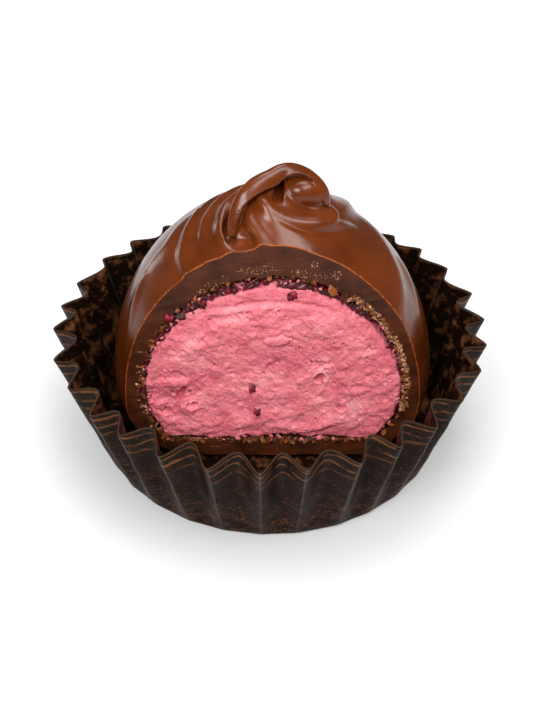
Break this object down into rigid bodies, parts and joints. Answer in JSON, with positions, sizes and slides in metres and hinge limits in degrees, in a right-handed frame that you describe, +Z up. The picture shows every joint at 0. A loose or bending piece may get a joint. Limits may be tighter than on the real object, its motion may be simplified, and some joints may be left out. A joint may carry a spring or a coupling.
{
  "type": "chocolate cream in a paper case",
  "caption": "Milk chocolate dome with a swirled top, sliced open to show pink berry cream and a dark fruit seam, standing in a fluted dark paper case.",
  "frame": {"origin": "middle of the paper case's base, on the surface it stands on", "axes": "+Z up; the sliced face looks towards -Y, so +X is to its right as seen from the front"},
  "size_m": [0.0434, 0.0434, 0.0302],
  "materials": {
    "paper": "satin",
    "chocolate": "semi-gloss",
    "berry": "moist",
    "cream": "soft"
  },
  "bodies": {
    "root": {"paper_case": "paper", "chocolate_shell": "chocolate", "berry_seam": "berry", "cream_filling": "cream"}
  },
  "joints": []
}
